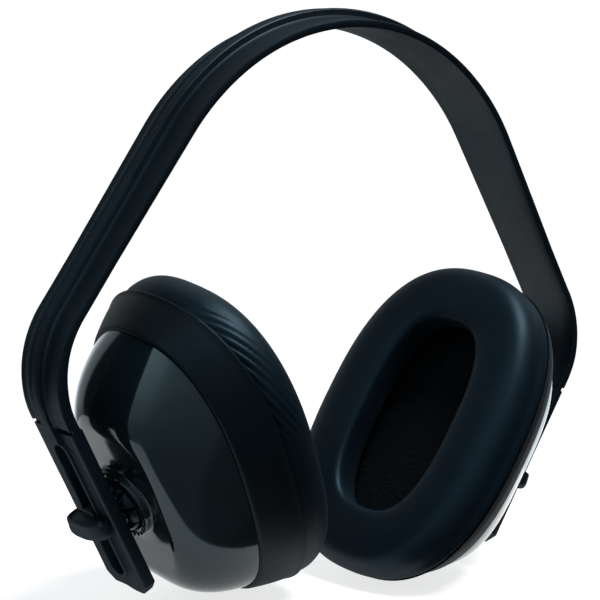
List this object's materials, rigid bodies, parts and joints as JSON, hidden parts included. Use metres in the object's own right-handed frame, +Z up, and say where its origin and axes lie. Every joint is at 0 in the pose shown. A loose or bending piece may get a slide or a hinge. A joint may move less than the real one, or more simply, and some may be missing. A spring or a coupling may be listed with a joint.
{
  "type": "hearing protection earmuffs",
  "caption": "Over-the-head hearing protectors: sprung one-piece band, oval ear cups on ball joints that slide along slots in its ends, soft sealing cushions.",
  "frame": {"origin": "middle of the underside of the object's box, between the two ear cups", "axes": "+X from the left cup to the right cup, +Y from front to back, +Z up to the headband's crown"},
  "size_m": [0.2052, 0.084, 0.1761],
  "materials": {
    "band_plastic": "satin black moulded plastic",
    "knob_plastic": "satin black moulded plastic",
    "socket_plastic": "semi-gloss black acetal",
    "screw_steel": "plated steel",
    "shell_plastic": "polished very dark green-grey plastic",
    "ring_plastic": "fine-grained matt black plastic",
    "cushion_vinyl": "soft satin black vinyl skin",
    "foam": "open-cell dark grey foam"
  },
  "bodies": {
    "headband": {"headband": "band_plastic"},
    "left_slider": {"left_slider_knob": "knob_plastic", "left_stud_screw": "screw_steel"},
    "left_stud": {"left_ball_stud": "socket_plastic"},
    "left_socket": {"left_socket_ring": "socket_plastic"},
    "left_cup": {"left_cup_shell": "shell_plastic", "left_seal_ring": "ring_plastic", "left_cushion_plate": "ring_plastic", "left_cushion_skin": "cushion_vinyl", "left_cushion_foam": "foam", "left_ear_liner": "foam", "left_cup_foam": "foam"},
    "right_slider": {"right_slider_knob": "knob_plastic", "right_stud_screw": "screw_steel"},
    "right_stud": {"right_ball_stud": "socket_plastic"},
    "right_socket": {"right_socket_ring": "socket_plastic"},
    "right_cup": {"right_cup_shell": "shell_plastic", "right_seal_ring": "ring_plastic", "right_cushion_plate": "ring_plastic", "right_cushion_skin": "cushion_vinyl", "right_cushion_foam": "foam", "right_ear_liner": "foam", "right_cup_foam": "foam"}
  },
  "joints": [
    {"name": "left_slide", "type": "slide", "parent": "headband", "child": "left_slider", "axis": [-0.4964, 0, 0.8681], "range_m": [-0.012, 0.014]},
    {"name": "left_spin", "type": "hinge", "parent": "left_slider", "child": "left_stud", "pos_m": [-0.07021, 0, 0.03353], "axis": [0.8681, 0, 0.4964], "range_deg": [-30, 15]},
    {"name": "left_tilt", "type": "hinge", "parent": "left_stud", "child": "left_socket", "pos_m": [-0.07021, 0, 0.03353], "axis": [-0.1159, 0.9724, 0.2027], "range_deg": [-8, 11]},
    {"name": "left_swivel", "type": "hinge", "parent": "left_socket", "child": "left_cup", "pos_m": [-0.07021, 0, 0.03353], "axis": [0.4872, 0.2334, -0.8415], "range_deg": [-9, 12]},
    {"name": "right_slide", "type": "slide", "parent": "headband", "child": "right_slider", "axis": [-0.4964, 0, -0.8681], "range_m": [-0.014, 0.012]},
    {"name": "right_spin", "type": "hinge", "parent": "right_slider", "child": "right_stud", "pos_m": [0.07021, 0, 0.03353], "axis": [-0.8681, 0, 0.4964], "range_deg": [-25, 25]},
    {"name": "right_tilt", "type": "hinge", "parent": "right_stud", "child": "right_socket", "pos_m": [0.07021, 0, 0.03353], "axis": [0.0165, 0.9995, 0.0288], "range_deg": [-11, 8]},
    {"name": "right_swivel", "type": "hinge", "parent": "right_socket", "child": "right_cup", "pos_m": [0.07021, 0, 0.03353], "axis": [-0.4763, 0.0331, -0.8787], "range_deg": [-4, 16]}
  ]
}
